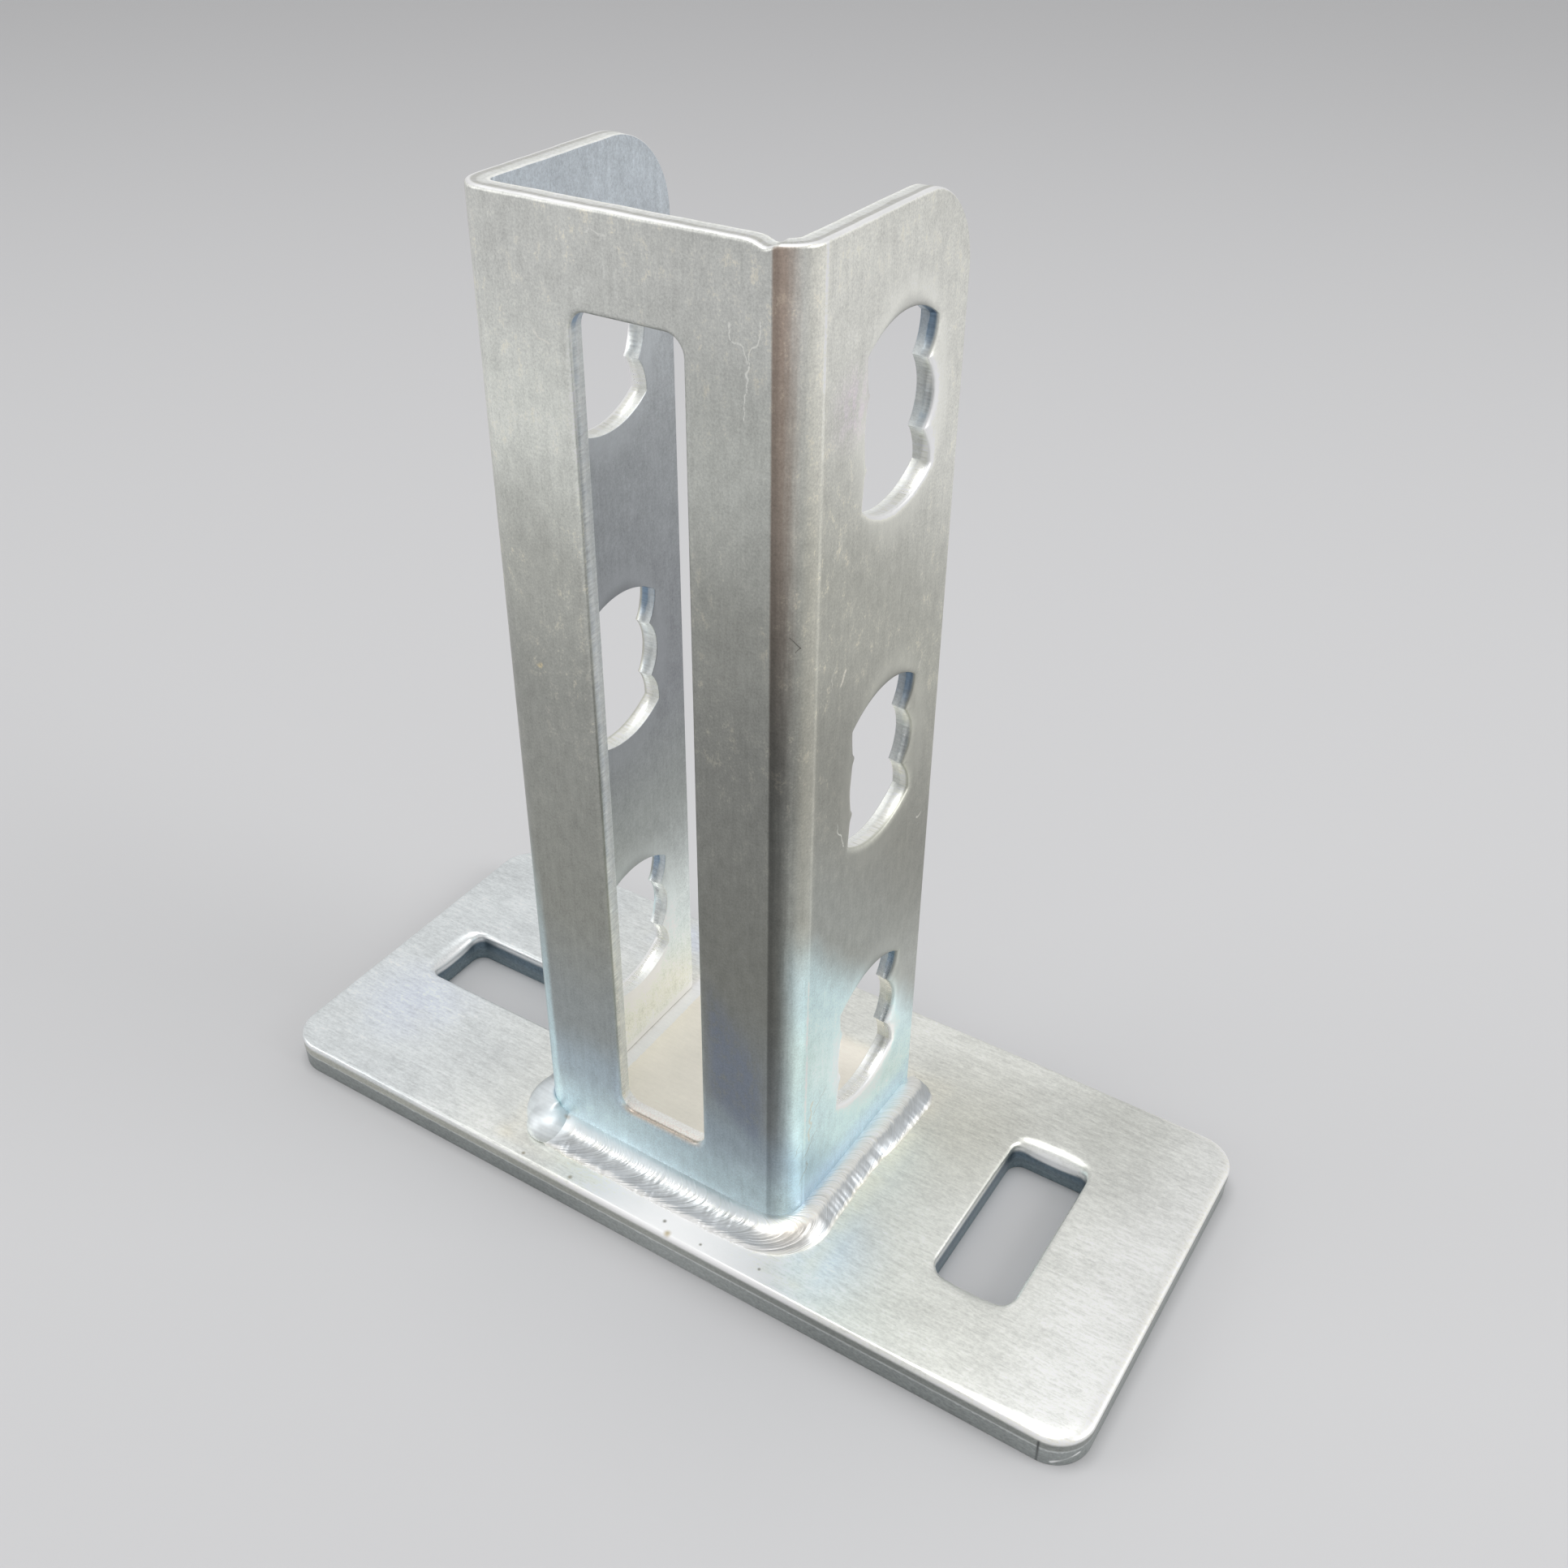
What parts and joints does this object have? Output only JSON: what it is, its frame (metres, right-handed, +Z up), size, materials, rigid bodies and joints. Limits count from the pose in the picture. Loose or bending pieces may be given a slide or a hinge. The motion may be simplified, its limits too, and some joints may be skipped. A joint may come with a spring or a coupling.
{
  "type": "t-shaped strut fitting",
  "caption": "Post base for strut: a folded channel with a web slot and scalloped bolt slots, welded upright on a slotted base plate.",
  "frame": {"origin": "middle of the base plate's underside, at the middle of the bounding box's base", "axes": "+Z up along the channel, +X along the base plate, -Y is the side that the channel's closed web faces"},
  "size_m": [0.15, 0.065, 0.156],
  "materials": {
    "zinc_plated_plate": "zinc plated and clear passivated, fine grinding lines along the plate, rolled bright edges",
    "zinc_plated_sheet": "zinc plated and clear passivated, dull mottled faces, bright bends and punched edges",
    "weld_metal": "zinc plated over a fine rippled weld bead, bright on the crests"
  },
  "bodies": {
    "root": {"base_plate": "zinc_plated_plate", "channel": "zinc_plated_sheet", "front_weld_bead": "weld_metal", "left_weld_bead": "weld_metal"}
  },
  "joints": []
}
